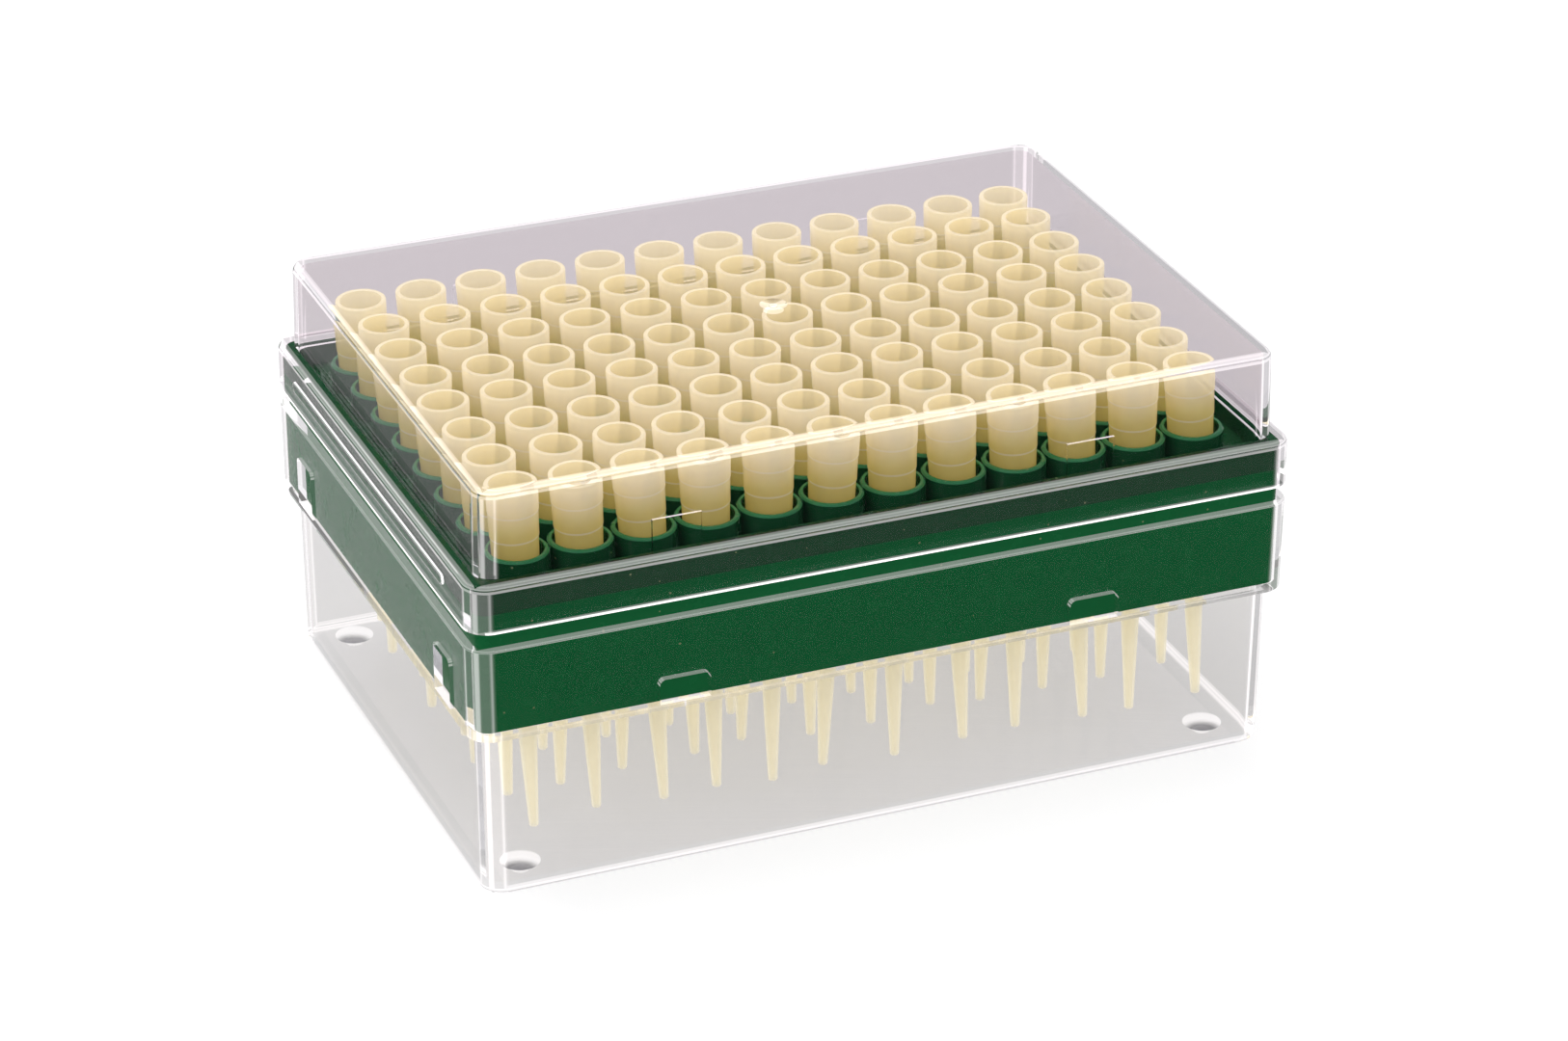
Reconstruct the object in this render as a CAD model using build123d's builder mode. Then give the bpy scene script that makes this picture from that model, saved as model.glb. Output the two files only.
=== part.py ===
"""Box of pipette tips: clear drafted base, green rack, clear lift-off lid and an 8 x 12 set of tips.

Millimetres. Origin at the bottom centre of the base, +Z up, +X along the twelve columns,
+Y along the eight rows; the front long side faces -Y.
"""
import os
from math import asin, atan, atan2, cos, degrees, hypot, sin, tan

from build123d import *

# ---- tip grid -------------------------------------------------------------------------------
PITCH = 9.0                 # centre distance of the tips, both ways
COLUMNS = 12                # along X
ROWS = 8                    # along Y

# ---- plan of the box ------------------------------------------------------------------------
END_MARGIN = 10.4           # last column of tips to the outside of the collar, X
SIDE_MARGIN = 11.35         # last row of tips to the outside of the collar, Y
COLLAR_DRAFT = 0.1          # the collar narrows this much per side towards its lower edge
WALL = 1.2                  # walls of the base collar and of the lid skirt
OUTER_RADIUS = 3.5          # upright corners of the collar and the lid skirt, outside
INNER_RADIUS = 1.8          # the same, inside

# ---- base -----------------------------------------------------------------------------------
STEP_Z = 24.9               # underside of the collar's outward step
LEDGE_THICKNESS = 0.8       # web between the step's underside and the inner ledge
COLLAR_HEIGHT = 13.55       # the collar above the step's underside
STEP_WIDTH = 1.65           # how far the collar stands out beyond the lower box
LOWER_DRAFT = 0.25          # draft of the lower box, per side
LOWER_RADIUS = 3.3          # upright corners of the lower box, outside
LOWER_WALL = 1.2
FLOOR = 1.65                # floor thickness
BOTTOM_FILLET = 1.2
COLLAR_RIM_FILLET = 0.3     # softens the collar's top outer edge
DOME_RADIUS = 2.8           # lens-shaped domes on the floor, near the corners
DOME_HEIGHT = 0.8
DOME_INSET_X = 6.95         # centre of a dome to the end of the lower box
DOME_INSET_Y = 6.1          # the same, to its side

# ---- windows in the collar ------------------------------------------------------------------
FRONT_WINDOW_INSET = 29.9   # centre of a window to the end of the collar
FRONT_WINDOW_WIDTH = 7.3
FRONT_WINDOW_HEIGHT = 3.7
SIDE_WINDOW_INSET = 12.85   # centre of a window to the side of the collar
SIDE_WINDOW_WIDTH = 6.4
SIDE_WINDOW_HEIGHT = 7.3
WINDOW_RADIUS = 0.9         # upper corners of every window

# ---- rack -----------------------------------------------------------------------------------
RACK_FIT = 0.12             # gap per side between the rack and the collar or lid skirt around it
RACK_WALL = 1.2
RACK_RADIUS = 1.7           # upright corners, outside
RACK_INNER_RADIUS = 0.6     # the same, inside
DECK_DROP = 3.2             # the deck below the rack's upper rim
DECK_THICKNESS = 1.2
SLEEVE_HEIGHT = 3.6         # above the deck
SLEEVE_SPACING = 0.1        # gap between neighbouring sleeves
SLEEVE_FIT = 0.2            # gap round the tip rim, were it inside the sleeve
SLEEVE_CHAMFER = 0.25
WEB_WIDTH = 1.6             # small bridges that tie neighbouring sleeves together
WEB_DROP = 0.5              # how far the bridges stay below the sleeve lips
SEAT_FIT = 0.25             # gap round the tip in the deck's hole; the hole's rim is its seat

# ---- lid ------------------------------------------------------------------------------------
BAND_HEIGHT = 2.5           # height of rack left bare between the collar and the lid skirt
LID_SKIRT_DEPTH = 5.65      # the skirt below the underside of its shelf
LID_LEDGE_THICKNESS = 1.2   # the shelf where the narrow upper wall meets the skirt
LID_HEADROOM = 3.15         # free height above the tips
LID_STEP = 1.97             # width of the shelf, outside
LID_DRAFT = 0.19            # draft of the upper wall, per side
LID_WALL = 1.15
LID_PLATE = 1.3             # thickness of the top
LID_RADIUS = 3.0            # upright corners of the upper wall, outside
LID_TOP_FILLET = 1.25
LID_SHELF_FILLET = 0.95     # outer edge of the shelf
SNAP_WIDTH = 7.0            # shallow pockets inside the long upper walls, above the windows
SNAP_HEIGHT = 4.2           # above the shelf
SNAP_DEPTH = 0.35
BEAD_END_GAP = 10.35        # long rib on each short skirt; its end to the side of the lid
BEAD_HEIGHT = 1.7
BEAD_PROUD = 0.35
BEAD_DROP = 3.3             # middle of the rib below the top of the shelf
BEAD_FILLET = 0.25
GATE_SPHERE = 5.0           # radius of the ball that cuts the moulding mark in the top
GATE_DEPTH = 0.4
GATE_NUB_RADIUS = 0.6
GATE_NUB_HEIGHT = 0.2
POLE = 90.0                 # latitude of the top of a ball, degrees

# ---- tips: radii, and heights above the seat (down is minus) --------------------------------
RIM_GAP = 1.8               # gap between the rims of neighbouring tips
TIP_RIM_Z = 12.65           # top of the tip above its seat
TIP_RIM_CHAMFER = 0.15
TIP_RING_1_Z = 9.2          # upper ring step
TIP_RING_1_IN = 0.1         # in from the rim's radius
TIP_RING_2_Z = 5.5          # lower ring step
TIP_RING_2_IN = 0.26
TIP_RING_STEP = 0.08        # how much each ring step goes in
TIP_SHOULDER_IN = 0.5       # outer edge of the shoulder that sits on the deck, in from the rim's
TIP_SHOULDER_WIDTH = 0.5
TIP_SHANK_R = 1.56          # where the shank leaves the rack
TIP_END_R = 0.64
TIP_FLOOR_GAP = 4.85        # tip ends above the table
TIP_MOUTH_WALL = 0.75       # wall of the tip at its rim, its seat and its neck
TIP_SEAT_WALL = 0.8
TIP_NECK_WALL = 0.65
TIP_BORE_NECK_Z = -3.0
TIP_BORE_SHANK_R = 1.1
TIP_BORE_END_R = 0.32

# Side-play of the tips: how far each tip end hangs off its grid point, X and Y, for the two
# front rows. The rows behind follow the wave below.
FRONT_END_X = [1.35, 1.94, 2.3, 1.25, 0.0, -0.88, 0.35, 2.0, 1.23, 2.12, 0.25, 1.9]
FRONT_END_Y = [-0.7, 0.8, -0.5, 0.1, -1.3, 0.3, -1.0, -0.4, 0.1, -1.1, -1.2, -0.7]
SECOND_END_X = [1.0, -0.32, 0.05, 1.79, 0.25, 0.84, 0.94, 1.74, -0.07, 0.53, 0.51, 1.39]
SECOND_END_Y = [-0.3, -0.1, 0.7, 0.7, 1.9, -0.2, -0.3, 1.3, 0.2, -0.1, -0.3, 0.2]
WAVE_MEAN = 0.9
WAVE_SIZE = 0.9
WAVE_COLUMN = 12.99         # radians per column and per row; any large step scatters the tips
WAVE_ROW = 78.23

# ---- derived: plan --------------------------------------------------------------------------
COLLAR_LENGTH = (COLUMNS - 1) * PITCH + 2 * END_MARGIN
COLLAR_WIDTH = (ROWS - 1) * PITCH + 2 * SIDE_MARGIN
COLLAR_FOOT_LENGTH = COLLAR_LENGTH - 2 * COLLAR_DRAFT
COLLAR_FOOT_WIDTH = COLLAR_WIDTH - 2 * COLLAR_DRAFT
LOWER_LENGTH = COLLAR_FOOT_LENGTH - 2 * STEP_WIDTH
LOWER_WIDTH = COLLAR_FOOT_WIDTH - 2 * STEP_WIDTH
LOWER_INNER_RADIUS = LOWER_RADIUS - LOWER_WALL
RACK_TOP_LENGTH = COLLAR_LENGTH - 2 * WALL - 2 * RACK_FIT
RACK_TOP_WIDTH = COLLAR_WIDTH - 2 * WALL - 2 * RACK_FIT
LID_UPPER_LENGTH = COLLAR_LENGTH - 2 * LID_STEP
LID_UPPER_WIDTH = COLLAR_WIDTH - 2 * LID_STEP
DOME_X = LOWER_LENGTH / 2 - DOME_INSET_X
DOME_Y = LOWER_WIDTH / 2 - DOME_INSET_Y
DOME_BALL = (DOME_RADIUS**2 + DOME_HEIGHT**2) / (2 * DOME_HEIGHT)
FRONT_WINDOW_X = COLLAR_LENGTH / 2 - FRONT_WINDOW_INSET
SIDE_WINDOW_Y = COLLAR_WIDTH / 2 - SIDE_WINDOW_INSET
BEAD_LENGTH = COLLAR_WIDTH - 2 * BEAD_END_GAP

# ---- derived: tip and sleeve radii ----------------------------------------------------------
TIP_RIM_R = (PITCH - RIM_GAP) / 2
TIP_RING_1_R = TIP_RIM_R - TIP_RING_1_IN
TIP_RING_2_R = TIP_RIM_R - TIP_RING_2_IN
TIP_SHOULDER_R = TIP_RIM_R - TIP_SHOULDER_IN
TIP_NECK_R = TIP_SHOULDER_R - TIP_SHOULDER_WIDTH
TIP_MOUTH_R = TIP_RIM_R - TIP_MOUTH_WALL
TIP_BORE_SEAT_R = TIP_SHOULDER_R - TIP_SEAT_WALL
TIP_BORE_NECK_R = TIP_NECK_R - TIP_NECK_WALL
SLEEVE_R = (PITCH - SLEEVE_SPACING) / 2
SLEEVE_BORE_R = TIP_RIM_R + SLEEVE_FIT
SEAT_HOLE_R = TIP_NECK_R + SEAT_FIT

# ---- derived: heights, from the bottom up ---------------------------------------------------
LEDGE_Z = STEP_Z + LEDGE_THICKNESS
COLLAR_TOP = STEP_Z + COLLAR_HEIGHT
LID_SKIRT_BOTTOM = COLLAR_TOP + BAND_HEIGHT
LID_LEDGE_UNDER = LID_SKIRT_BOTTOM + LID_SKIRT_DEPTH
LID_LEDGE_TOP = LID_LEDGE_UNDER + LID_LEDGE_THICKNESS
BEAD_Z = LID_LEDGE_TOP - BEAD_DROP
SNAP_TOP = LID_LEDGE_TOP + SNAP_HEIGHT
DECK_TOP = LID_LEDGE_UNDER - DECK_DROP
SLEEVE_TOP = DECK_TOP + SLEEVE_HEIGHT
LID_CAVITY_TOP = DECK_TOP + TIP_RIM_Z + LID_HEADROOM
HEIGHT = LID_CAVITY_TOP + LID_PLATE
TIP_SHANK_Z = LEDGE_Z - DECK_TOP
TIP_END_Z = TIP_FLOOR_GAP - DECK_TOP

os.makedirs("parts", exist_ok=True)


def grid(index, count):
    """Centre of one place in a row of count places on the tip pitch."""
    return (index - (count - 1) / 2) * PITCH


def drafted(length, width, radius, z_low, z_high, inset_low, inset_high, mode=Mode.ADD):
    """A rounded block between two heights, each end drawn in by its own inset per side."""
    with BuildSketch(Plane.XY.offset(z_low)) as low:
        RectangleRounded(length - 2 * inset_low, width - 2 * inset_low, radius)
    with BuildSketch(Plane.XY.offset(z_high)) as high:
        RectangleRounded(length - 2 * inset_high, width - 2 * inset_high, radius)
    loft(sections=[low.sketch.faces()[0], high.sketch.faces()[0]], ruled=True, mode=mode)


def end_offset(column, row):
    """How far the tip end hangs off its grid point, X and Y."""
    if row == 0:
        return FRONT_END_X[column % len(FRONT_END_X)], FRONT_END_Y[column % len(FRONT_END_Y)]
    if row == 1:
        return SECOND_END_X[column % len(SECOND_END_X)], SECOND_END_Y[column % len(SECOND_END_Y)]
    phase = WAVE_COLUMN * column + WAVE_ROW * row
    return WAVE_MEAN + WAVE_SIZE * sin(phase), WAVE_SIZE * cos(phase)


# ---- base -----------------------------------------------------------------------------------
with BuildPart() as base:
    drafted(LOWER_LENGTH, LOWER_WIDTH, LOWER_RADIUS, 0, LEDGE_Z, LOWER_DRAFT, 0)
    fillet(base.edges().group_by(Axis.Z)[0], BOTTOM_FILLET)
    drafted(COLLAR_LENGTH, COLLAR_WIDTH, OUTER_RADIUS, STEP_Z, COLLAR_TOP, COLLAR_DRAFT, 0)
    fillet(base.edges().group_by(Axis.Z)[-1], COLLAR_RIM_FILLET)
    drafted(LOWER_LENGTH, LOWER_WIDTH, LOWER_INNER_RADIUS, FLOOR, LEDGE_Z,
            LOWER_WALL + LOWER_DRAFT, LOWER_WALL, mode=Mode.SUBTRACT)
    drafted(COLLAR_LENGTH, COLLAR_WIDTH, INNER_RADIUS, LEDGE_Z, COLLAR_TOP,
            WALL + COLLAR_DRAFT, WALL, mode=Mode.SUBTRACT)
    # windows through the long walls, then through the short walls, standing on the ledge
    with BuildSketch(Plane.XZ) as long_windows:
        for side in (-1, 1):
            with Locations((side * FRONT_WINDOW_X, LEDGE_Z + FRONT_WINDOW_HEIGHT / 2)):
                Rectangle(FRONT_WINDOW_WIDTH, FRONT_WINDOW_HEIGHT)
        fillet(long_windows.vertices().group_by(Axis.Y)[-1], WINDOW_RADIUS)
    extrude(amount=COLLAR_WIDTH, both=True, mode=Mode.SUBTRACT)
    with BuildSketch(Plane.YZ) as short_windows:
        for side in (-1, 1):
            with Locations((side * SIDE_WINDOW_Y, LEDGE_Z + SIDE_WINDOW_HEIGHT / 2)):
                Rectangle(SIDE_WINDOW_WIDTH, SIDE_WINDOW_HEIGHT)
        fillet(short_windows.vertices().group_by(Axis.Y)[-1], WINDOW_RADIUS)
    extrude(amount=COLLAR_LENGTH, both=True, mode=Mode.SUBTRACT)
    with Locations(*[(x, y, FLOOR) for x in (-DOME_X, DOME_X) for y in (-DOME_Y, DOME_Y)]):
        Sphere(DOME_BALL, arc_size1=degrees(asin((DOME_BALL - DOME_HEIGHT) / DOME_BALL)), arc_size2=POLE,
               align=(Align.CENTER, Align.CENTER, Align.MIN))
base.part.label = "base"
export_step(base.part, "parts/base.step")

# ---- rack -----------------------------------------------------------------------------------
with BuildPart() as rack:
    drafted(RACK_TOP_LENGTH, RACK_TOP_WIDTH, RACK_RADIUS, LEDGE_Z, LID_LEDGE_UNDER, COLLAR_DRAFT, 0)
    # channel round the sleeves above the deck, hollow below it
    with BuildSketch(Plane.XY.offset(DECK_TOP)):
        RectangleRounded(RACK_TOP_LENGTH - 2 * RACK_WALL, RACK_TOP_WIDTH - 2 * RACK_WALL,
                         RACK_INNER_RADIUS)
    extrude(amount=LID_LEDGE_UNDER - DECK_TOP, mode=Mode.SUBTRACT)
    drafted(RACK_TOP_LENGTH, RACK_TOP_WIDTH, RACK_INNER_RADIUS, LEDGE_Z, DECK_TOP - DECK_THICKNESS,
            RACK_WALL + COLLAR_DRAFT, RACK_WALL, mode=Mode.SUBTRACT)
    with BuildSketch(Plane.XY.offset(DECK_TOP)):
        with GridLocations(PITCH, PITCH, COLUMNS, ROWS):
            Circle(SLEEVE_R)
    extrude(amount=SLEEVE_TOP - DECK_TOP)
    chamfer(rack.edges().filter_by(GeomType.CIRCLE).group_by(Axis.Z)[-1], SLEEVE_CHAMFER)
    with BuildSketch(Plane.XY.offset(DECK_TOP)):
        with GridLocations(PITCH, PITCH, COLUMNS - 1, ROWS):
            Rectangle(WEB_WIDTH, WEB_WIDTH)
        with GridLocations(PITCH, PITCH, COLUMNS, ROWS - 1):
            Rectangle(WEB_WIDTH, WEB_WIDTH)
    extrude(amount=SLEEVE_TOP - WEB_DROP - DECK_TOP)
    with BuildSketch(Plane.XY.offset(DECK_TOP)):
        with GridLocations(PITCH, PITCH, COLUMNS, ROWS):
            Circle(SLEEVE_BORE_R)
    extrude(amount=SLEEVE_TOP - DECK_TOP, mode=Mode.SUBTRACT)
    with BuildSketch(Plane.XY.offset(DECK_TOP)):
        with GridLocations(PITCH, PITCH, COLUMNS, ROWS):
            Circle(SEAT_HOLE_R)
    extrude(amount=-DECK_THICKNESS, mode=Mode.SUBTRACT)
rack.part.label = "rack"
export_step(rack.part, "parts/rack.step")

# ---- lid ------------------------------------------------------------------------------------
with BuildPart() as lid:
    with BuildSketch(Plane.XY.offset(LID_SKIRT_BOTTOM)):
        RectangleRounded(COLLAR_LENGTH, COLLAR_WIDTH, OUTER_RADIUS)
    extrude(amount=LID_LEDGE_TOP - LID_SKIRT_BOTTOM)
    fillet(lid.edges().group_by(Axis.Z)[-1], LID_SHELF_FILLET)
    drafted(LID_UPPER_LENGTH, LID_UPPER_WIDTH, LID_RADIUS, LID_LEDGE_UNDER, HEIGHT, 0, LID_DRAFT)
    fillet(lid.edges().group_by(Axis.Z)[-1], LID_TOP_FILLET)
    with BuildSketch(Plane.XY.offset(LID_SKIRT_BOTTOM)):
        RectangleRounded(COLLAR_LENGTH - 2 * WALL, COLLAR_WIDTH - 2 * WALL, INNER_RADIUS)
    extrude(amount=LID_LEDGE_UNDER - LID_SKIRT_BOTTOM, mode=Mode.SUBTRACT)
    drafted(LID_UPPER_LENGTH, LID_UPPER_WIDTH, LID_RADIUS - LID_WALL, LID_LEDGE_UNDER, LID_CAVITY_TOP,
            LID_WALL, LID_WALL + LID_DRAFT, mode=Mode.SUBTRACT)
    # shallow pockets inside the long upper walls
    with BuildSketch(Plane.XY.offset(LID_LEDGE_UNDER)):
        with Locations((-FRONT_WINDOW_X, 0), (FRONT_WINDOW_X, 0)):
            Rectangle(SNAP_WIDTH, LID_UPPER_WIDTH - 2 * LID_WALL + 2 * SNAP_DEPTH)
    extrude(amount=SNAP_TOP - LID_LEDGE_UNDER, mode=Mode.SUBTRACT)
    # one long rib on each short skirt
    for side in (-1, 1):
        with BuildSketch(Plane.YZ.offset(side * (COLLAR_LENGTH / 2 - WALL / 2))):
            with Locations((0, BEAD_Z)):
                SlotOverall(BEAD_LENGTH, BEAD_HEIGHT)
        extrude(amount=side * (WALL / 2 + BEAD_PROUD))
        fillet(lid.faces().sort_by(Axis.X)[-1 if side > 0 else 0].edges(), BEAD_FILLET)
    # moulding mark in the middle of the top
    with Locations((0, 0, HEIGHT + GATE_SPHERE - GATE_DEPTH)):
        Sphere(GATE_SPHERE, mode=Mode.SUBTRACT)
    with Locations((0, 0, HEIGHT - GATE_DEPTH - GATE_NUB_HEIGHT)):
        Cylinder(GATE_NUB_RADIUS, 2 * GATE_NUB_HEIGHT, align=(Align.CENTER, Align.CENTER, Align.MIN))
lid.part.label = "lid"
export_step(lid.part, "parts/lid.step")

# ---- one tip, its seat at the origin --------------------------------------------------------
with BuildPart() as tip:
    with BuildSketch(Plane.XZ):
        with BuildLine():
            Polyline(
                (TIP_END_R, TIP_END_Z),
                (TIP_SHANK_R, TIP_SHANK_Z),
                (TIP_NECK_R, 0),
                (TIP_SHOULDER_R, 0),
                (TIP_RING_2_R - TIP_RING_STEP, TIP_RING_2_Z),
                (TIP_RING_2_R, TIP_RING_2_Z),
                (TIP_RING_1_R - TIP_RING_STEP, TIP_RING_1_Z),
                (TIP_RING_1_R, TIP_RING_1_Z),
                (TIP_RIM_R, TIP_RIM_Z - TIP_RIM_CHAMFER),
                (TIP_RIM_R - TIP_RIM_CHAMFER, TIP_RIM_Z),
                (TIP_MOUTH_R + TIP_RIM_CHAMFER, TIP_RIM_Z),
                (TIP_MOUTH_R, TIP_RIM_Z - TIP_RIM_CHAMFER),
                (TIP_BORE_SEAT_R, 0),
                (TIP_BORE_NECK_R, TIP_BORE_NECK_Z),
                (TIP_BORE_SHANK_R, TIP_SHANK_Z),
                (TIP_BORE_END_R, TIP_END_Z),
                close=True,
            )
        make_face()
    revolve(axis=Axis.Z)

# ---- tips, one node per column --------------------------------------------------------------
for column in range(COLUMNS):
    with BuildPart() as tips:
        for row in range(ROWS):
            off_x, off_y = end_offset(column, row)
            reach = hypot(off_x, off_y)
            lean = atan(reach / -TIP_END_Z)
            # a leaning tip stands on one side of its shoulder, so its centre sits a little higher
            seat_z = DECK_TOP + TIP_SHOULDER_R * sin(lean)
            place = Location((grid(column, COLUMNS), grid(row, ROWS), seat_z))
            turn = Rotation(0, 0, degrees(atan2(off_y, off_x))) * Rotation(0, -degrees(lean), 0)
            with Locations(place * turn):
                add(tip.part)
    tips.part.label = f"tips_{column + 1:02d}"
    export_step(tips.part, f"parts/tips_{column + 1:02d}.step")
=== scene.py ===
"""A clear box of pipette tips: base, green rack, lift-off lid and the yellow tips."""

import math

import bmesh
import bpy
from mathutils import Euler, Matrix, Vector


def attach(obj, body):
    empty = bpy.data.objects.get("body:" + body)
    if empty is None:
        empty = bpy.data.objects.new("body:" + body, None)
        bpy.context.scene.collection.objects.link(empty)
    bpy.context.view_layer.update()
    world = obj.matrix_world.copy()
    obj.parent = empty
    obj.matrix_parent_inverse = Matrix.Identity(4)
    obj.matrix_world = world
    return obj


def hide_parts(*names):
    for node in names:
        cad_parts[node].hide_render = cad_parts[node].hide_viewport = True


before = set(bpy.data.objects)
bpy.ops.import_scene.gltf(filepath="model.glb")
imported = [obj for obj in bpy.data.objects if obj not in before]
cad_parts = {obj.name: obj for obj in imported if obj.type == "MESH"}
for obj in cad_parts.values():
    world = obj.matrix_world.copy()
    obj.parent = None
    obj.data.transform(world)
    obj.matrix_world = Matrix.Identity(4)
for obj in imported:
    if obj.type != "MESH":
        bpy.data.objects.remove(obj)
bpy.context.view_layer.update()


# ---- Base ------------------------------------------------------------------------------------
# The clear tub the rack hangs in: one polystyrene moulding with a stepped collar, two window
# cut-outs in every side and four lens-shaped domes on its floor. It keeps its CAD shape.
BOX_HALF_LENGTH, BOX_HALF_WIDTH = 0.0599, 0.04285
WALL = 0.0012
STEP_HEIGHT = 0.0249
STEP_INSET = 0.0018
FLOOR_THICKNESS = 0.00165
FLOOR_FACE = 0.0001
SKIN_DEPTH = 0.0003
DOME_SPOT = (0.0512, 0.035)
DOME_RADIUS = 0.0029
DOME_TOP = 0.0026

# the moulded surface: sizes are noise scales, so a larger one is a finer grain
SCUFF_SIZE, RIPPLE_SIZE, SPECK_SIZE = 900.0, 60.0, 330.0
SCUFF_DETAIL, RIPPLE_DETAIL = 3.0, 1.0
SPECK_REACH = 0.055
SCUFF_SPREAD = {"From Min": 0.45, "From Max": 0.8, "To Min": 0.7, "To Max": 1.5}

# clear plastic. The index is lower than that of real polystyrene, so that reflections don't hide
# what the box holds. Rays already reflected more than TRAPPED_TURNS times go straight on.
BASE_TINT = (0.975, 0.965, 0.96)
BASE_HAZE = 0.012
# painted highlight along the foot of the base's skin, and a painted glow on its floor face
BASE_FOOT_LIGHT = 0.22
FLOOR_PAINTED_GLOW = 0.1
MOTTLE_SHADE = 0.985
CLEAR_IOR = 1.1
TRAPPED_TURNS = 1.5
LAMP_TINT = (0.97, 0.97, 0.975)
# the colour of the painted highlights and glow on corners, rims, feet and bands
EDGE_HIGHLIGHT_TINT = (1.0, 0.95, 0.97)

# painted highlight in an upright corner by how far it turns from its wall (0.29 is half way round,
# 1 a cut face), and in a rounded or flat rim by how far it tilts up or down (1 is flat)
UPRIGHT_TILT = 0.03
CORNER_LIGHT = ((0.0, 0.0), (0.006, 0.0), (0.02, 0.35), (0.045, 0.1), (0.2, 0.1), (0.25, 0.5),
                (0.32, 0.5), (0.4, 0.15), (0.9, 0.1), (0.97, 0.02), (1.0, 0.0))
RIM_LIGHT = ((0.0, 0.0), (0.03, 0.0), (0.07, 0.4), (0.32, 0.35), (0.38, 0.03), (0.5, 0.03),
             (0.56, 0.45), (0.75, 0.25), (0.9, 0.4), (0.985, 0.2), (1.0, 0.2))

# painted shine and painted shade on a dome, by how far it leans from one side (0) to the other (1)
# along DOME_AXIS
DOME_AXIS = (0.38, 0.92, 0.0)
DOME_LEAN = 0.55
DOME_PAINTED_SHINE = ((0.0, 0.35), (0.05, 0.0), (0.24, 0.05), (0.4, 0.35), (0.7, 0.3), (0.95, 0.0))
DOME_PAINTED_SHADE = ((0.0, 0.0), (0.05, 1.0), (0.18, 0.9), (0.32, 0.1), (0.9, 0.0), (1.0, 0.6))
SHINE_COLOUR = (1.0, 0.98, 0.99)
SHADE_COLOUR = (0.05, 0.05, 0.06)


def worked_out(nodes, links, operation, *values):
    """The result of a Math node on numbers and on outputs of other nodes."""
    node = nodes.new("ShaderNodeMath")
    node.operation = operation
    for socket, value in zip(node.inputs, values):
        if isinstance(value, (int, float)):
            socket.default_value = value
        else:
            links.new(value, socket)
    return node.outputs["Value"]


def add_float_sockets(group, direction, names):
    """Give a node group its number sockets, with default values where names is a dictionary."""
    for name in names:
        socket = group.interface.new_socket(name, in_out=direction,
                                            socket_type="NodeSocketFloat")
        if isinstance(names, dict):
            socket.default_value = names[name]


def moulded_surface_group():
    """Fine scuffs, flow ripples, faint haze and a few specks of dust on a moulded wall."""
    group = bpy.data.node_groups.new("moulded surface", "ShaderNodeTree")
    add_float_sockets(group, "INPUT", {"Haze": BASE_HAZE, "Scuff Size": SCUFF_SIZE,
                                       "Ripple Size": RIPPLE_SIZE, "Speck Size": SPECK_SIZE})
    add_float_sockets(group, "OUTPUT", ("Roughness", "Height", "Mottle", "Specks"))
    nodes, links = group.nodes, group.links
    inputs = nodes.new("NodeGroupInput")
    outputs = nodes.new("NodeGroupOutput")
    place = nodes.new("ShaderNodeTexCoord")
    scuffs = nodes.new("ShaderNodeTexNoise")
    scuffs.inputs["Detail"].default_value = SCUFF_DETAIL
    ripples = nodes.new("ShaderNodeTexNoise")
    ripples.inputs["Detail"].default_value = RIPPLE_DETAIL
    dust = nodes.new("ShaderNodeTexVoronoi")
    for texture, size in ((scuffs, "Scuff Size"), (ripples, "Ripple Size"), (dust, "Speck Size")):
        links.new(place.outputs["Object"], texture.inputs["Vector"])
        links.new(inputs.outputs[size], texture.inputs["Scale"])
    spread = nodes.new("ShaderNodeMapRange")
    for limit, value in SCUFF_SPREAD.items():
        spread.inputs[limit].default_value = value
    links.new(scuffs.outputs["Fac"], spread.inputs["Value"])
    haze = worked_out(nodes, links, "MULTIPLY", inputs.outputs["Haze"], spread.outputs["Result"])
    speck = worked_out(nodes, links, "LESS_THAN", dust.outputs["Distance"], SPECK_REACH)
    links.new(haze, outputs.inputs["Roughness"])
    links.new(ripples.outputs["Fac"], outputs.inputs["Height"])
    links.new(scuffs.outputs["Fac"], outputs.inputs["Mottle"])
    links.new(speck, outputs.inputs["Specks"])
    return group


def by_stops(nodes, links, value, stops):
    """A colour ramp on a value. Each stop has its position and a grey level or a colour."""
    ramp = nodes.new("ShaderNodeValToRGB")
    points = ramp.color_ramp.elements
    while len(points) < len(stops):
        points.new(0.5)
    for point, (position, colour) in zip(points, stops):
        point.position = position
        point.color = (*colour, 1) if isinstance(colour, tuple) else (colour, colour, colour, 1)
    links.new(value, ramp.inputs["Fac"])
    return ramp.outputs["Color"]


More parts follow.
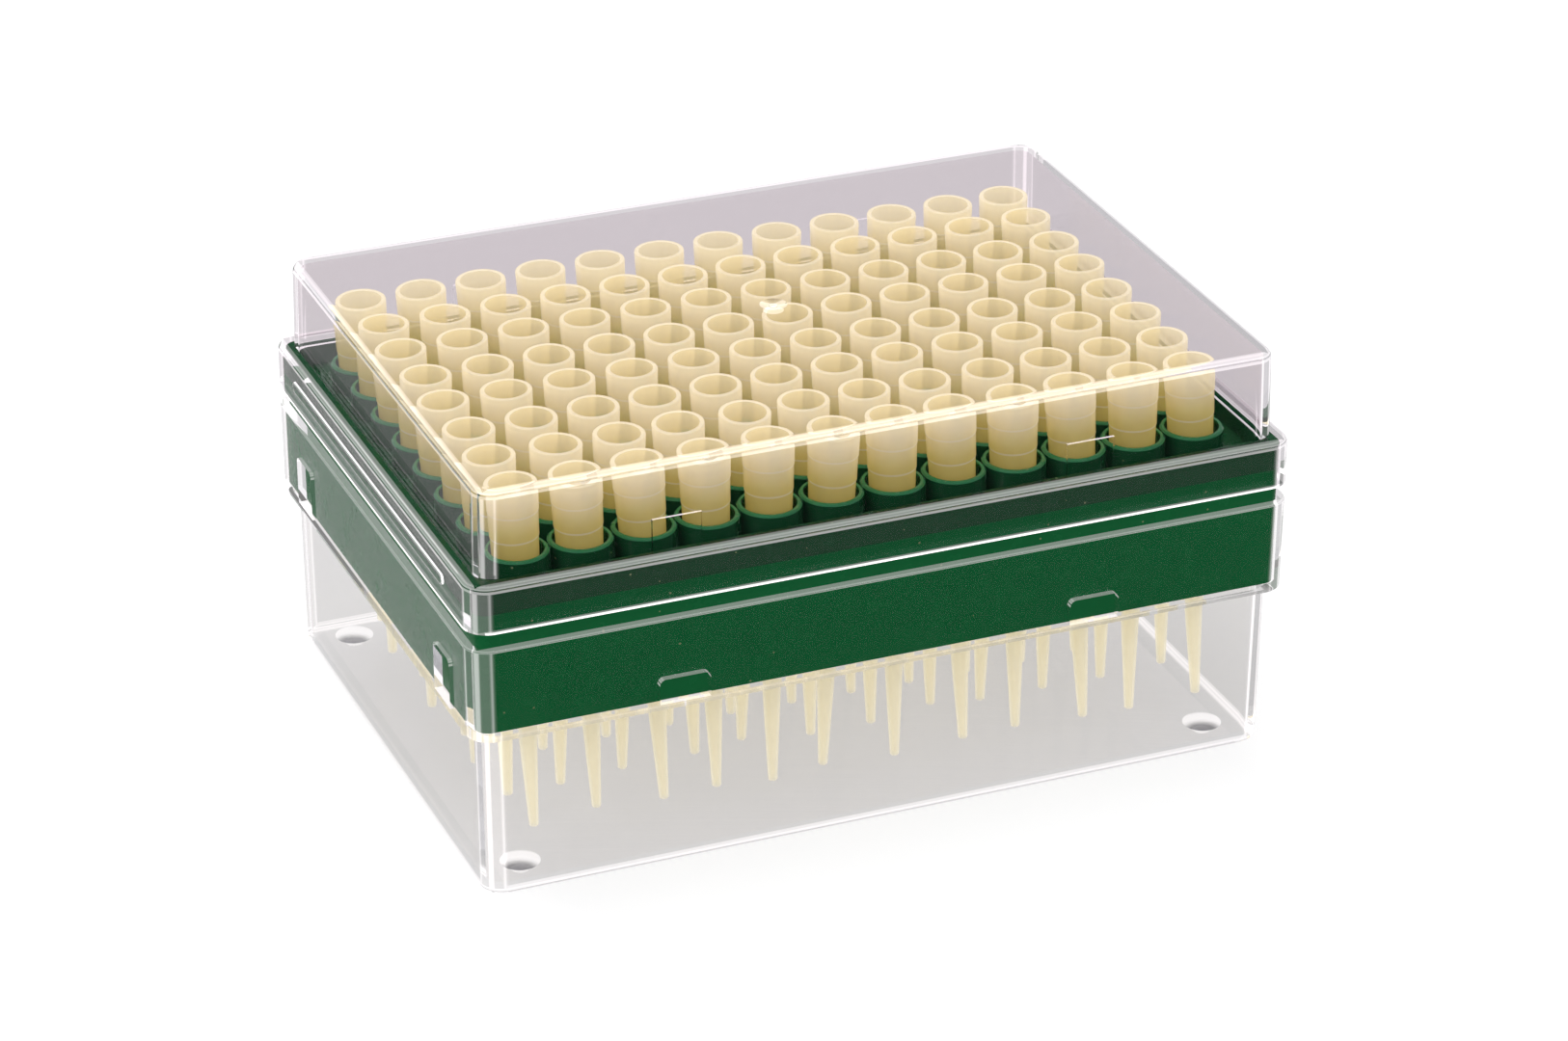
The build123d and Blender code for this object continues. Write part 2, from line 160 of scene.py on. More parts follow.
def edge_light_group():
    """Where a clear wall turns a corner or ends, light is painted on: glowing corners, rims and
    feet.

    The box has one plan below Step Height and one above it, each drawn in by its own inset. Inside
    the wall band of that plan, a surface that no longer faces outwards is a corner, a rim or a cut
    edge, and gets a painted highlight. Two bands of height get a painted glow as well: the foot of
    the skin, and everything in the band named Haze.
    """
    group = bpy.data.node_groups.new("edge light", "ShaderNodeTree")
    add_float_sockets(group, "INPUT", {
        "Half Length": BOX_HALF_LENGTH, "Half Width": BOX_HALF_WIDTH, "Wall": WALL,
        "Step Height": 0.0, "Inset Above": 0.0, "Inset Below": 0.0,
        "Foot Low": -1.0, "Foot High": -0.9, "Foot Light": 0.5,
        "Haze Low": -1.0, "Haze High": -0.9, "Haze Light": 0.0})
    group.interface.new_socket("Light", in_out="OUTPUT", socket_type="NodeSocketColor")
    nodes, links = group.nodes, group.links
    inputs = nodes.new("NodeGroupInput").outputs
    outputs = nodes.new("NodeGroupOutput")

    def result(operation, first, second):
        return worked_out(nodes, links, operation, first, second)

    place = nodes.new("ShaderNodeTexCoord")
    split = {}
    for source in ("Object", "Normal"):
        size = nodes.new("ShaderNodeVectorMath")
        size.operation = "ABSOLUTE"
        links.new(place.outputs[source], size.inputs[0])
        split[source] = nodes.new("ShaderNodeSeparateXYZ")
        links.new(size.outputs["Vector"], split[source].inputs["Vector"])
    spot, normal = split["Object"].outputs, split["Normal"].outputs

    above = result("GREATER_THAN", spot["Z"], inputs["Step Height"])
    below = result("SUBTRACT", 1.0, above)
    inset = result("ADD", result("MULTIPLY", above, inputs["Inset Above"]),
                   result("MULTIPLY", below, inputs["Inset Below"]))
    past_end = result("ADD", result("SUBTRACT", spot["X"], inputs["Half Length"]), inset)
    past_side = result("ADD", result("SUBTRACT", spot["Y"], inputs["Half Width"]), inset)
    into_wall = result("ADD", result("MAXIMUM", past_end, past_side), inputs["Wall"])
    on_end = result("GREATER_THAN", past_end, past_side)
    on_side = result("SUBTRACT", 1.0, on_end)
    outwards = result("ADD", result("MULTIPLY", on_end, normal["X"]),
                      result("MULTIPLY", on_side, normal["Y"]))
    in_wall = result("GREATER_THAN", into_wall, 0.0)
    on_skin = result("GREATER_THAN", into_wall, result("SUBTRACT", inputs["Wall"], SKIN_DEPTH))
    turned = result("MULTIPLY", in_wall, result("SUBTRACT", 1.0, outwards))
    tilted = result("MULTIPLY", in_wall, normal["Z"])

    def lit_band(name, mask):
        band = result("MULTIPLY", result("GREATER_THAN", spot["Z"], inputs[f"{name} Low"]),
                      result("LESS_THAN", spot["Z"], inputs[f"{name} High"]))
        return result("MULTIPLY", result("MULTIPLY", band, mask), inputs[f"{name} Light"])

    # painted highlights on corners and rims, and painted glow on the Foot and Haze bands
    corners = result("MULTIPLY", by_stops(nodes, links, turned, CORNER_LIGHT),
                     result("LESS_THAN", tilted, UPRIGHT_TILT))
    rims = by_stops(nodes, links, tilted, RIM_LIGHT)
    level = result("MAXIMUM", result("MAXIMUM", corners, rims),
                   result("MAXIMUM", lit_band("Foot", on_skin), lit_band("Haze", 1.0)))
    tinted = nodes.new("ShaderNodeVectorMath")
    tinted.operation = "SCALE"
    tinted.inputs["Vector"].default_value = EDGE_HIGHLIGHT_TINT
    links.new(level, tinted.inputs["Scale"])
    links.new(tinted.outputs["Vector"], outputs.inputs["Light"])
    return group


def dome_shine_group():
    """A dome works as a small lens: it gets a painted bright crescent of shine and a painted dark
    crescent of shade, each on a side of its own.
    """
    group = bpy.data.node_groups.new("dome shine", "ShaderNodeTree")
    add_float_sockets(group, "INPUT", ("Dome X", "Dome Y", "Dome Radius", "Dome Top"))
    add_float_sockets(group, "OUTPUT", ("Shine", "Shade"))
    nodes, links = group.nodes, group.links
    inputs = nodes.new("NodeGroupInput").outputs
    outputs = nodes.new("NodeGroupOutput")
    place = nodes.new("ShaderNodeTexCoord")
    size = nodes.new("ShaderNodeVectorMath")
    size.operation = "ABSOLUTE"
    links.new(place.outputs["Object"], size.inputs[0])
    centre = nodes.new("ShaderNodeCombineXYZ")
    for axis, name in (("X", "Dome X"), ("Y", "Dome Y"), ("Z", "Dome Top")):
        links.new(inputs[name], centre.inputs[axis])
    away = nodes.new("ShaderNodeVectorMath")
    away.operation = "DISTANCE"
    links.new(size.outputs["Vector"], away.inputs[0])
    links.new(centre.outputs["Vector"], away.inputs[1])
    on_dome = worked_out(nodes, links, "LESS_THAN", away.outputs["Value"], inputs["Dome Radius"])
    facing = nodes.new("ShaderNodeVectorMath")
    facing.operation = "DOT_PRODUCT"
    facing.inputs[1].default_value = DOME_AXIS
    links.new(place.outputs["Normal"], facing.inputs[0])
    lean = nodes.new("ShaderNodeMapRange")
    lean.inputs["From Min"].default_value = -DOME_LEAN
    lean.inputs["From Max"].default_value = DOME_LEAN
    links.new(facing.outputs["Value"], lean.inputs["Value"])
    # painted shine and painted shade, each on a fixed side of the dome
    for name, stops in (("Shine", DOME_PAINTED_SHINE), ("Shade", DOME_PAINTED_SHADE)):
        crescent = by_stops(nodes, links, lean.outputs["Result"], stops)
        links.new(worked_out(nodes, links, "MULTIPLY", crescent, on_dome), outputs.inputs[name])
    return group


moulded_surface = moulded_surface_group()
edge_light = edge_light_group()
dome_shine = dome_shine_group()


def add_effect(nodes, effect, sizes):
    """Place a shared effect in a material, with this material's own values."""
    node = nodes.new("ShaderNodeGroup")
    node.node_tree = effect
    for size, value in sizes.items():
        node.inputs[size].default_value = value
    return node


def new_material(name):
    """A node material, with its nodes, its links and its main shader."""
    material = bpy.data.materials.new(name)
    material.use_nodes = True
    nodes, links = material.node_tree.nodes, material.node_tree.links
    return material, nodes, links, nodes["Principled BSDF"]


def mixed(nodes, links, share, first, second):
    """Two shaders mixed. The share of the second is a number or a mask."""
    mix = nodes.new("ShaderNodeMixShader")
    if isinstance(share, float):
        mix.inputs["Fac"].default_value = share
    else:
        links.new(share, mix.inputs["Fac"])
    links.new(first, mix.inputs[1])
    links.new(second, mix.inputs[2])
    return mix.outputs["Shader"]


def clear_polystyrene(name, tint, haze, edge_sizes):
    """Clear moulded polystyrene that lets lamps and scattered light through to what it holds."""
    material, nodes, links, shader = new_material(name)
    shader.inputs["Transmission Weight"].default_value = 1.0
    shader.inputs["IOR"].default_value = CLEAR_IOR
    surface = add_effect(nodes, moulded_surface, {"Haze": haze})
    links.new(surface.outputs["Roughness"], shader.inputs["Roughness"])
    colour = nodes.new("ShaderNodeMix")
    colour.data_type = "RGBA"
    colour.inputs["A"].default_value = (*tint, 1)
    colour.inputs["B"].default_value = (*[MOTTLE_SHADE * part for part in tint], 1)
    links.new(surface.outputs["Mottle"], colour.inputs["Factor"])
    links.new(colour.outputs["Result"], shader.inputs["Base Color"])
    # painted highlights and painted glow on edges, given out as emission
    edges = add_effect(nodes, edge_light, edge_sizes)
    links.new(edges.outputs["Light"], shader.inputs["Emission Color"])
    shader.inputs["Emission Strength"].default_value = 1.0
    rays = nodes.new("ShaderNodeLightPath").outputs
    trapped = worked_out(nodes, links, "GREATER_THAN", rays["Glossy Depth"], TRAPPED_TURNS)
    straight_through = nodes.new("ShaderNodeBsdfTransparent")
    straight_through.inputs["Color"].default_value = (*LAMP_TINT, 1)
    seen = shader.outputs["BSDF"]
    for passes in (rays["Is Diffuse Ray"], rays["Is Shadow Ray"], trapped):
        seen = mixed(nodes, links, passes, seen, straight_through.outputs["BSDF"])
    links.new(seen, nodes["Material Output"].inputs["Surface"])
    return material


def laid_over(nodes, links, below, mask, colour, blend="MIX"):
    """A colour laid over the one below it, as far as its mask says."""
    layer = nodes.new("ShaderNodeMix")
    layer.data_type = "RGBA"
    layer.blend_type = blend
    layer.inputs["B"].default_value = (*colour, 1)
    links.new(mask, layer.inputs["Factor"])
    links.new(below, layer.inputs["A"])
    return layer.outputs["Result"]


def add_dome_shine(material, spot, radius, top):
    """Put the painted shine and painted shade of domes or of a round mark on top of a clear finish.
    """
    nodes, links = material.node_tree.nodes, material.node_tree.links
    shader = nodes["Principled BSDF"]
    domes = add_effect(nodes, dome_shine, {"Dome X": spot[0], "Dome Y": spot[1],
                                           "Dome Radius": radius, "Dome Top": top})
    # painted shine goes into the glow, painted shade darkens the colour
    for socket, output, blend, colour in (("Emission Color", "Shine", "ADD", SHINE_COLOUR),
                                          ("Base Color", "Shade", "MULTIPLY", SHADE_COLOUR)):
        below = shader.inputs[socket].links[0].from_socket
        layer = laid_over(nodes, links, below, domes.outputs[output], colour, blend)
        links.new(layer, shader.inputs[socket])


def dress(node_name, material):
    """Put one finish on the whole of a CAD node."""
    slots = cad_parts[node_name].data.materials
    slots.clear()
    slots.append(material)


clear_base = clear_polystyrene("clear base", BASE_TINT, BASE_HAZE, {
    "Step Height": STEP_HEIGHT, "Inset Below": STEP_INSET,
    "Foot High": FLOOR_THICKNESS, "Foot Light": BASE_FOOT_LIGHT,
    "Haze High": FLOOR_FACE, "Haze Light": FLOOR_PAINTED_GLOW})
# painted shine and painted shade on the four floor domes
add_dome_shine(clear_base, DOME_SPOT, DOME_RADIUS, DOME_TOP)
dress("base", clear_base)


# ---- Rack ------------------------------------------------------------------------------------
# The green tray that carries the tips: a polypropylene moulding with a tall skirt and one
# tubular sleeve per tip. The skin is satin, a little uneven, with specks of dust, painted shade on
# the sleeves and painted highlights on their lips.
DECK_HEIGHT = 0.0432
SLEEVE_LIP_HEIGHT = 0.04672
GREEN_SPECULAR = 0.06
GREEN_HAZE = 0.25
GREEN_SCUFF_SIZE = 420.0
GREEN_SKIN = ((0.3, (0.0050, 0.112, 0.032)), (0.7, (0.0055, 0.118, 0.034)))
# painted shade on the sleeves above the deck, and a painted highlight on their lips
SLEEVE_PAINTED_SHADE = (0.004, 0.055, 0.018)
LIP_PAINTED_HIGHLIGHT = (0.014, 0.14, 0.052)
DUST_COLOUR = (0.14, 0.20, 0.09)
SLEEVE_POLISH = 0.4
POLISH_ROUGHNESS = 0.22
RIPPLE_STRENGTH = 0.02
RIPPLE_DEPTH = 0.0002


def green_polypropylene():
    """Satin green, more polished above the deck, with painted shade there, painted highlights on
    the lips and specks of dust.
    """
    material, nodes, links, shader = new_material("green rack")
    shader.inputs["Specular IOR Level"].default_value = GREEN_SPECULAR
    surface = add_effect(nodes, moulded_surface, {"Haze": GREEN_HAZE,
                                                  "Scuff Size": GREEN_SCUFF_SIZE})
    links.new(surface.outputs["Roughness"], shader.inputs["Roughness"])
    place = nodes.new("ShaderNodeTexCoord")
    spot = nodes.new("ShaderNodeSeparateXYZ")
    links.new(place.outputs["Object"], spot.inputs["Vector"])
    above_deck, on_lip = (worked_out(nodes, links, "GREATER_THAN", spot.outputs["Z"], height)
                          for height in (DECK_HEIGHT, SLEEVE_LIP_HEIGHT))
    seen = by_stops(nodes, links, surface.outputs["Mottle"], GREEN_SKIN)
    # painted shade on the sleeves, painted highlight on their lips; the specks are dust
    for mask, colour in ((above_deck, SLEEVE_PAINTED_SHADE), (on_lip, LIP_PAINTED_HIGHLIGHT),
                         (surface.outputs["Specks"], DUST_COLOUR)):
        seen = laid_over(nodes, links, seen, mask, colour)
    links.new(seen, shader.inputs["Base Color"])
    links.new(worked_out(nodes, links, "MULTIPLY", above_deck, SLEEVE_POLISH),
              shader.inputs["Coat Weight"])
    shader.inputs["Coat Roughness"].default_value = POLISH_ROUGHNESS
    bump = nodes.new("ShaderNodeBump")
    bump.inputs["Strength"].default_value = RIPPLE_STRENGTH
    bump.inputs["Distance"].default_value = RIPPLE_DEPTH
    links.new(surface.outputs["Height"], bump.inputs["Height"])
    links.new(bump.outputs["Normal"], shader.inputs["Normal"])
    return material


dress("rack", green_polypropylene())


# ---- Tips ------------------------------------------------------------------------------------
# Ninety-six hollow polypropylene tips, eight by twelve on a 9 mm pitch. Each stands on its
# shoulder in a sleeve with some play, so the ends hang a little off the grid, each its own way.
PITCH = 0.009
TIP_COLUMNS, TIP_ROWS = 12, 8
SEAT_HEIGHT = 0.0434
SHOULDER_RADIUS = 0.0031
AROUND = 32
SHARP_ANGLE = 50

# radius and height in mm over the seat: the outside from the end upwards and over the rim, and
# then the bore down to the end again
OUTSIDE_PROFILE = [
    (0.55, -38.55), (0.64, -38.40), (1.10, -28.0), (1.56, -17.7), (2.10, -8.6), (2.595, -0.05),
    (3.02, 0.0), (3.10, 0.10), (3.26, 5.40), (3.34, 5.50), (3.345, 5.75),
    (3.42, 9.10), (3.50, 9.20), (3.505, 9.45), (3.59, 12.45), (3.56, 12.58), (3.47, 12.65),
    (2.98, 12.65),
]
BORE_PROFILE = [
    (2.88, 12.58), (2.84, 12.45), (2.62, 7.0), (2.30, 0.0), (1.95, -3.0), (1.10, -17.7),
    (0.32, -38.55),
]
END_HEIGHT, RIM_HEIGHT = OUTSIDE_PROFILE[0][1], OUTSIDE_PROFILE[-1][1]
RING_HEIGHTS = (5.5, 9.2)
RING_LINE = 0.16

# how far the ends hang off the grid, in mm: front row and second row one by one, the rows behind
# by a wave with a mean and a swing
FRONT_END_X = [1.35, 1.94, 2.3, 1.25, 0.0, -0.88, 0.35, 2.0, 1.23, 2.12, 0.25, 1.9]
FRONT_END_Y = [-0.7, 0.8, -0.5, 0.1, -1.3, 0.3, -1.0, -0.4, 0.1, -1.1, -1.2, -0.7]
SECOND_END_X = [1.0, -0.32, 0.05, 1.79, 0.25, 0.84, 0.94, 1.74, -0.07, 0.53, 0.51, 1.39]
SECOND_END_Y = [-0.3, -0.1, 0.7, 0.7, 1.9, -0.2, -0.3, 1.3, 0.2, -0.1, -0.3, 0.2]
MEAN_END_X, END_SWING = 0.9, 0.9
WAVE_PER_COLUMN, WAVE_PER_ROW = 12.99, 78.23

# milky plastic. The stops run from the end of a tip (0) to its rim (1): the colour that the
# plastic shows, and the painted glow that stands in for light carried inside it and light on its
# rim.
TIP_IOR = 1.49
TIP_HAZE = 0.15
TIP_SCUFF_SIZE = 700.0
BODY_COLOURS = ((0.0, (0.99, 0.97, 0.90)), (0.45, (0.98, 0.95, 0.84)), (0.75, (0.88, 0.77, 0.24)),
                (0.87, (0.90, 0.79, 0.33)), (0.94, (0.96, 0.87, 0.53)), (1.0, (0.99, 0.92, 0.66)))
TIP_PAINTED_GLOW = ((0.0, (0.43, 0.42, 0.39)), (0.42, (0.38, 0.37, 0.335)), (0.62, (0, 0, 0)),
               (0.78, (0.05, 0.045, 0.01)), (0.88, (0.08, 0.07, 0.05)),
               (0.93, (0.21, 0.20, 0.225)), (0.97, (0.35, 0.335, 0.38)),
               (0.985, (0.50, 0.48, 0.45)), (1.0, (0.50, 0.48, 0.45)))
# a pale line painted along each outside step: a painted highlight
RING_HIGHLIGHT_COLOUR = (0.98, 0.93, 0.74)
CLOUD_COLOUR = (0.93, 0.92, 0.90)
GLOW_SHARE = 0.4
WALL_TINT = (1.0, 0.97, 0.84)
WALL_COVER = 0.62


def tip_mesh():
    """One tip turned from its profile, seat at the origin.

    Its vertices remember their height in mm, and whether they are in the bore.
    """
    mesh = bmesh.new()
    rings = []
    for radius, height in OUTSIDE_PROFILE + BORE_PROFILE:
        ring = []
        for step in range(AROUND):
            angle = 2 * math.pi * step / AROUND
            spot = Vector((radius * math.cos(angle), radius * math.sin(angle), height))
            ring.append(mesh.verts.new(spot / 1000))
        rings.append(ring)
    for index, ring in enumerate(rings):
        above = rings[(index + 1) % len(rings)]
        for step in range(AROUND):
            after = (step + 1) % AROUND
            mesh.faces.new((ring[step], ring[after], above[after], above[step]))
    bmesh.ops.recalc_face_normals(mesh, faces=mesh.faces)
    data = bpy.data.meshes.new("one tip")
    mesh.to_mesh(data)
    mesh.free()
    data.shade_smooth()
    data.set_sharp_from_angle(angle=math.radians(SHARP_ANGLE))
    heights = data.attributes.new("height", "FLOAT", "POINT")
    bores = data.attributes.new("bore", "FLOAT", "POINT")
    for index, vertex in enumerate(data.vertices):
        heights.data[index].value = 1000 * vertex.co.z
        bores.data[index].value = index // AROUND >= len(OUTSIDE_PROFILE)
    return data


def tip_end_offset(column, row):
    """How far a tip's end hangs off its grid point, X and Y, in mm."""
    if row == 0:
        return FRONT_END_X[column], FRONT_END_Y[column]
    if row == 1:
        return SECOND_END_X[column], SECOND_END_Y[column]
    phase = WAVE_PER_COLUMN * column + WAVE_PER_ROW * row
    return MEAN_END_X + END_SWING * math.sin(phase), END_SWING * math.cos(phase)


def seat_points():
    """A vertex for each seat, with the turn that its tip takes."""
    places, turns = [], []
    for column in range(TIP_COLUMNS):
        for row in range(TIP_ROWS):
            off_x, off_y = (value / 1000 for value in tip_end_offset(column, row))
            lean = math.atan(math.hypot(off_x, off_y) / (-END_HEIGHT / 1000))
            x = (column - (TIP_COLUMNS - 1) / 2) * PITCH
            y = (row - (TIP_ROWS - 1) / 2) * PITCH
            places.append((x, y, SEAT_HEIGHT + SHOULDER_RADIUS * math.sin(lean)))
            turn = (Matrix.Rotation(math.atan2(off_y, off_x), 3, "Z")
                    @ Matrix.Rotation(-lean, 3, "Y"))
            turns.append(turn.to_euler())
    data = bpy.data.meshes.new("tip seats")
    data.from_pydata(places, [], [])
    attribute = data.attributes.new("turn", "FLOAT_VECTOR", "POINT")
    for index, turn in enumerate(turns):
        attribute.data[index].vector = turn
    return data


def milky_polypropylene():
    """Milky yellow plastic: part of the light goes straight on, the rest is scattered both ways.

    The outside of the wall does all of that for the whole wall, and the bore is see-through.
    """
    material, nodes, links, shader = new_material("yellow tip")
    shader.inputs["IOR"].default_value = TIP_IOR
    surface = add_effect(nodes, moulded_surface, {"Haze": TIP_HAZE, "Scuff Size": TIP_SCUFF_SIZE})
    links.new(surface.outputs["Roughness"], shader.inputs["Roughness"])

    height = nodes.new("ShaderNodeAttribute")
    height.attribute_name = "height"
    along = nodes.new("ShaderNodeMapRange")
    along.inputs["From Min"].default_value = END_HEIGHT
    along.inputs["From Max"].default_value = RIM_HEIGHT
    links.new(height.outputs["Fac"], along.inputs["Value"])
    body = by_stops(nodes, links, along.outputs["Result"], BODY_COLOURS)
    # painted highlight lines on the outside steps
    for ring in RING_HEIGHTS:
        on_ring = worked_out(nodes, links, "COMPARE", height.outputs["Fac"], ring, RING_LINE)
        body = laid_over(nodes, links, body, on_ring, RING_HIGHLIGHT_COLOUR)
    body = laid_over(nodes, links, body, surface.outputs["Mottle"], CLOUD_COLOUR, "MULTIPLY")
    links.new(body, shader.inputs["Base Color"])
    # painted glow along the tip, brightest at the end and at the rim, given out as emission
    links.new(by_stops(nodes, links, along.outputs["Result"], TIP_PAINTED_GLOW),
              shader.inputs["Emission Color"])
    shader.inputs["Emission Strength"].default_value = 1.0

    glow = nodes.new("ShaderNodeBsdfTranslucent")
    links.new(body, glow.inputs["Color"])
    straight_through = nodes.new("ShaderNodeBsdfTransparent")
    straight_through.inputs["Color"].default_value = (*WALL_TINT, 1)
    to_lamp = nodes.new("ShaderNodeBsdfTransparent")
    to_lamp.inputs["Color"].default_value = (*[(1 - WALL_COVER) * tint for tint in WALL_TINT], 1)
    rays = nodes.new("ShaderNodeLightPath")
    bore = nodes.new("ShaderNodeAttribute")
    bore.attribute_name = "bore"
    seen = mixed(nodes, links, GLOW_SHARE, shader.outputs["BSDF"], glow.outputs["BSDF"])
    seen = mixed(nodes, links, WALL_COVER, straight_through.outputs["BSDF"], seen)
    seen = mixed(nodes, links, rays.outputs["Is Shadow Ray"], seen, to_lamp.outputs["BSDF"])
    seen = mixed(nodes, links, bore.outputs["Fac"], seen, straight_through.outputs["BSDF"])
    links.new(seen, nodes["Material Output"].inputs["Surface"])
    return material


def tip_set_tree():
    """One tip on every seat, turned the way its seat says."""
    tree = bpy.data.node_groups.new("tip set", "GeometryNodeTree")
    face = tree.interface
    face.new_socket("Geometry", in_out="INPUT", socket_type="NodeSocketGeometry")
    face.new_socket("Tip", in_out="INPUT", socket_type="NodeSocketObject")
    face.new_socket("Finish", in_out="INPUT", socket_type="NodeSocketMaterial")
    face.new_socket("Geometry", in_out="OUTPUT", socket_type="NodeSocketGeometry")
    nodes, links = tree.nodes, tree.links
    inputs = nodes.new("NodeGroupInput")
    outputs = nodes.new("NodeGroupOutput")
    pattern = nodes.new("GeometryNodeObjectInfo")
    turn = nodes.new("GeometryNodeInputNamedAttribute")
    turn.data_type = "FLOAT_VECTOR"
    turn.inputs["Name"].default_value = "turn"
    as_rotation = nodes.new("FunctionNodeEulerToRotation")
    place = nodes.new("GeometryNodeInstanceOnPoints")
    solid = nodes.new("GeometryNodeRealizeInstances")
    finish = nodes.new("GeometryNodeSetMaterial")
    links.new(inputs.outputs["Tip"], pattern.inputs["Object"])
    links.new(inputs.outputs["Geometry"], place.inputs["Points"])
    links.new(pattern.outputs["Geometry"], place.inputs["Instance"])
    links.new(turn.outputs["Attribute"], as_rotation.inputs["Euler"])
    links.new(as_rotation.outputs["Rotation"], place.inputs["Rotation"])
    links.new(place.outputs["Instances"], solid.inputs["Geometry"])
    links.new(solid.outputs["Geometry"], finish.inputs["Geometry"])
    links.new(inputs.outputs["Finish"], finish.inputs["Material"])
    links.new(finish.outputs["Geometry"], outputs.inputs["Geometry"])
    return tree


def set_input(modifier, name, value):
    """Give a named input of a Geometry Nodes modifier its value."""
    for item in modifier.node_group.interface.items_tree:
        if item.item_type == "SOCKET" and item.in_out == "INPUT" and item.name == name:
            modifier[item.identifier] = value


def plain_mesh(obj, name):
    """Turn what the modifiers make of an object into a plain object, and drop the old one."""
    evaluated = obj.evaluated_get(bpy.context.evaluated_depsgraph_get())
    result = bpy.data.objects.new(name, bpy.data.meshes.new_from_object(evaluated))
    bpy.context.scene.collection.objects.link(result)
    bpy.data.objects.remove(obj)
    return result


pattern_tip = bpy.data.objects.new("pattern tip", tip_mesh())
bpy.context.scene.collection.objects.link(pattern_tip)
seats = bpy.data.objects.new("seats", seat_points())
bpy.context.scene.collection.objects.link(seats)
spread_tips = seats.modifiers.new("tips", "NODES")
spread_tips.node_group = tip_set_tree()
set_input(spread_tips, "Tip", pattern_tip)
set_input(spread_tips, "Finish", milky_polypropylene())
tips = plain_mesh(seats, "tips")
bpy.data.objects.remove(pattern_tip)
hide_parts(*[f"tips_{number:02d}" for number in range(1, TIP_COLUMNS + 1)])
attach(tips, "rack")


# ---- Lid -------------------------------------------------------------------------------------
# The clear lift-off lid: a polystyrene moulding with a rounded top edge, a shelf above its skirt,
# shallow snap pockets inside the long walls and a long rib on each short skirt. It keeps its CAD
# shape. A small round gate mark is sunk in the middle of its top, with painted shine and shade.
SHELF_HEIGHT = 0.0479
SHELF_INSET = 0.00205
SKIRT_FOOT = (0.0409, 0.0413)
LID_TOP = 0.0605
LID_TINT = (0.855, 0.815, 0.835)
LID_HAZE = 0.01
# painted highlight along the foot of the lid's skirt
SKIRT_FOOT_LIGHT = 0.85
GATE_SPOT = (0.0, 0.0)
GATE_RADIUS = 0.00195

clear_lid = clear_polystyrene("clear lid", LID_TINT, LID_HAZE, {
    "Step Height": SHELF_HEIGHT, "Inset Above": SHELF_INSET,
    "Foot Low": SKIRT_FOOT[0], "Foot High": SKIRT_FOOT[1], "Foot Light": SKIRT_FOOT_LIGHT})
# painted shine and painted shade on the gate mark
add_dome_shine(clear_lid, GATE_SPOT, GATE_RADIUS, LID_TOP)
dress("lid", clear_lid)


# ---- Bench, light and camera -----------------------------------------------------------------
# A pale floor and sky under three soft studio lamps, seen from the front left and above. The glow
# only says how bright the floor and the sky look to each kind of ray, where 1 is white.
FLOOR_HALF = 4.0
PAPER_COLOUR = (0.27, 0.27, 0.275)
PAPER_ROUGHNESS = 0.9
PAPER_GLOW = {"Is Camera Ray": 0.74, "Is Transmission Ray": 0.44, "Is Glossy Ray": 0.25}
SKY_COLOUR = (0.98, 0.97, 1.0)
SKY_GLOW = {"Is Camera Ray": 0.5, "Is Transmission Ray": 0.5, "Is Glossy Ray": 0.3}
SKY_REST = 0.5
LAMP_TARGET = (0, 0, 0.03)
# place, size and power
LAMPS = {"top light": ((-0.1, 0.35, 1.1), 0.9, 10.0),
         "left light": ((-1.0, -0.35, 0.7), 0.6, 5.0),
         "front light": ((0.5, -1.1, 0.8), 0.7, 5.0)}
CAMERA_LENS = 118.3
SENSOR_WIDTH = 36.0
NEAREST_SEEN = 0.01
CAMERA_PLACE = (-0.2466, -0.6038, 0.3556)
CAMERA_PITCH, CAMERA_HEADING, CAMERA_ROLL = 63.25, -22.35, 0.1

floor_mesh = bpy.data.meshes.new("floor")
floor_mesh.from_pydata(
    [(-FLOOR_HALF, -FLOOR_HALF, 0), (FLOOR_HALF, -FLOOR_HALF, 0), (FLOOR_HALF, FLOOR_HALF, 0),
     (-FLOOR_HALF, FLOOR_HALF, 0)],
    [], [(0, 1, 2, 3)])
floor = bpy.data.objects.new("floor", floor_mesh)
bpy.context.scene.collection.objects.link(floor)


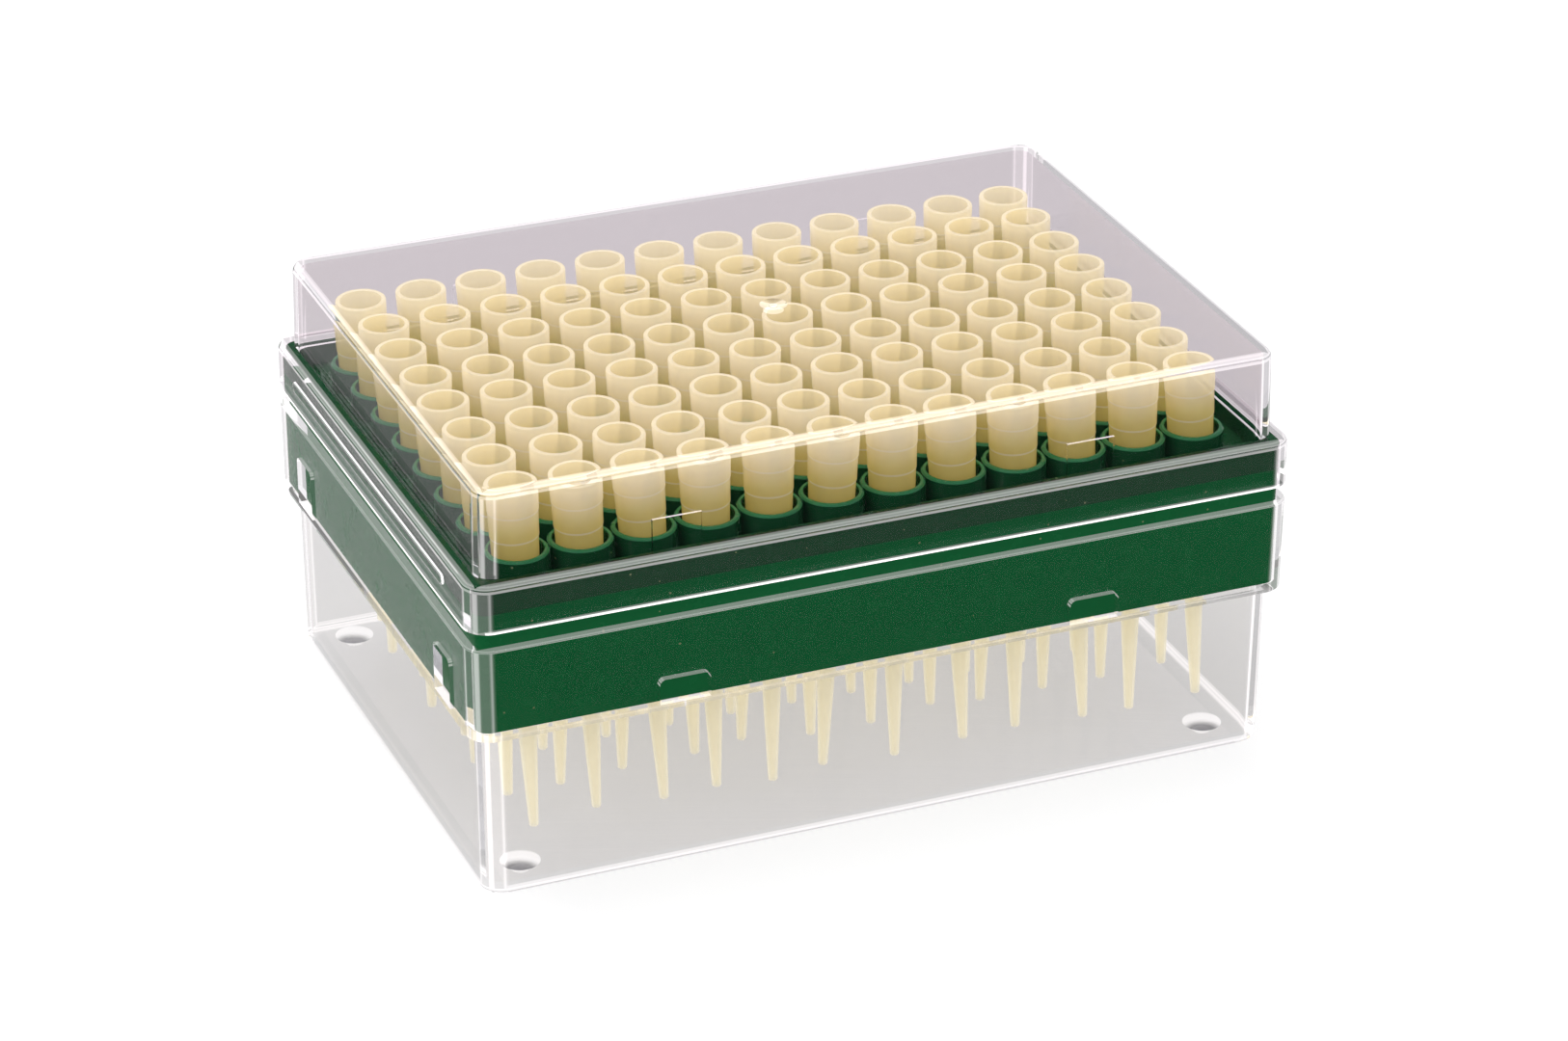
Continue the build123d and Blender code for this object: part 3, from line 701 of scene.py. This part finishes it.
def strength_by_ray(nodes, links, glow, rest):
    """The strength for all rays, plus the largest glow among the kinds that a ray belongs to."""
    rays = nodes.new("ShaderNodeLightPath").outputs
    most = None
    for kind, strength in glow.items():
        step = worked_out(nodes, links, "MULTIPLY_ADD", rays[kind], strength, rest)
        most = step if most is None else worked_out(nodes, links, "MAXIMUM", most, step)
    return most


paper, nodes, links, shader = new_material("pale paper")
shader.inputs["Base Color"].default_value = (*PAPER_COLOUR, 1)
shader.inputs["Roughness"].default_value = PAPER_ROUGHNESS
shader.inputs["Emission Color"].default_value = (1, 1, 1, 1)
links.new(strength_by_ray(nodes, links, PAPER_GLOW, 0.0), shader.inputs["Emission Strength"])
floor_mesh.materials.append(paper)

world = bpy.data.worlds.new("studio")
bpy.context.scene.world = world
world.use_nodes = True
nodes, links = world.node_tree.nodes, world.node_tree.links
sky = nodes["Background"]
sky.inputs["Color"].default_value = (*SKY_COLOUR, 1)
links.new(strength_by_ray(nodes, links, SKY_GLOW, SKY_REST), sky.inputs["Strength"])


def soft_box(name, place, size, power):
    """A square studio lamp, turned to the object."""
    lamp = bpy.data.lights.new(name, "AREA")
    lamp.size = size
    lamp.energy = power
    obj = bpy.data.objects.new(name, lamp)
    obj.location = place
    towards = Vector(LAMP_TARGET) - Vector(place)
    obj.rotation_euler = towards.to_track_quat("-Z", "Y").to_euler()
    bpy.context.scene.collection.objects.link(obj)


for lamp_name, (place, size, power) in LAMPS.items():
    soft_box(lamp_name, place, size, power)

camera = bpy.data.cameras.new("camera")
camera.sensor_width = SENSOR_WIDTH
camera.lens = CAMERA_LENS
camera.clip_start = NEAREST_SEEN
camera_object = bpy.data.objects.new("camera", camera)
camera_object.location = CAMERA_PLACE
camera_object.rotation_euler = Euler((math.radians(CAMERA_PITCH), 0, math.radians(CAMERA_HEADING)))
camera_object.rotation_euler.rotate_axis("Z", math.radians(CAMERA_ROLL))
bpy.context.scene.collection.objects.link(camera_object)
bpy.context.scene.camera = camera_object
bpy.context.scene.view_settings.view_transform = "Standard"
